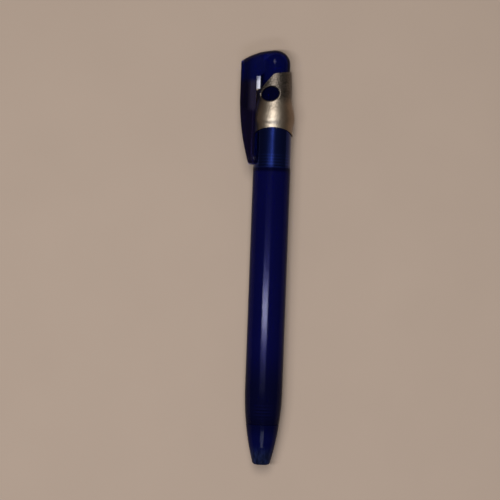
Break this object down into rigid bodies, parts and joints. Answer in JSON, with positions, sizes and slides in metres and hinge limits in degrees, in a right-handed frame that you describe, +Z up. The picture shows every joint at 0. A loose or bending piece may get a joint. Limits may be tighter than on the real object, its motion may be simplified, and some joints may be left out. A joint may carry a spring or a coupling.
{
  "type": "retractable push-action pen",
  "caption": "Slim retractable pen with a frosted translucent barrel, glossy nose, satin silver collar and a push button moulded in one with its pocket clip.",
  "frame": {"origin": "centre of the lying pen's box, on the surface that it lies on", "axes": "+Y along the pen from the nose to the push button, -X towards the clip, +Z up, with the plane through the axis and the clip level"},
  "size_m": [0.0184, 0.138, 0.014],
  "materials": {
    "frosted_blue_plastic": "frosted translucent navy",
    "glossy_blue_plastic": "polished translucent navy",
    "satin_silver": "satin silver metallised plastic",
    "clear_blue_plastic": "polished translucent royal blue",
    "dark_blue_plastic": "moulded acetal",
    "white_plastic": "moulded acetal",
    "natural_plastic": "natural extruded tube",
    "clear_ink": "colourless ink",
    "follower_grease": "clear grease",
    "tip_metal": "nickel silver, turned",
    "ball_metal": "polished carbide",
    "spring_steel": "drawn wire"
  },
  "bodies": {
    "barrel_body": {"barrel": "frosted_blue_plastic", "nose_cone": "glossy_blue_plastic", "collar": "satin_silver", "guide_sleeve": "satin_silver", "return_spring": "spring_steel"},
    "button_body": {"clip_button": "clear_blue_plastic", "plunger": "dark_blue_plastic"},
    "rotor_body": {"rotor": "white_plastic"},
    "refill_body": {"refill_tube": "natural_plastic", "refill_ink": "clear_ink", "ink_follower": "follower_grease", "refill_tip": "tip_metal", "tip_ball": "ball_metal"}
  },
  "joints": [
    {"name": "button_push", "type": "slide", "parent": "barrel_body", "child": "button_body", "axis": [0, -1, 0], "range_m": [0, 0.004], "stiffness_N_per_m": 250},
    {"name": "rotor_slide", "type": "slide", "parent": "barrel_body", "child": "rotor_body", "axis": [0, -1, 0], "range_m": [0, 0.004]},
    {"name": "refill_slide", "type": "slide", "parent": "barrel_body", "child": "refill_body", "axis": [0, -1, 0], "range_m": [0, 0.004], "deforming": ["return_spring"]}
  ],
  "couplings": [
    {"joint": "rotor_slide", "follows": "button_push", "ratio": 1},
    {"joint": "refill_slide", "follows": "button_push", "ratio": 1}
  ]
}
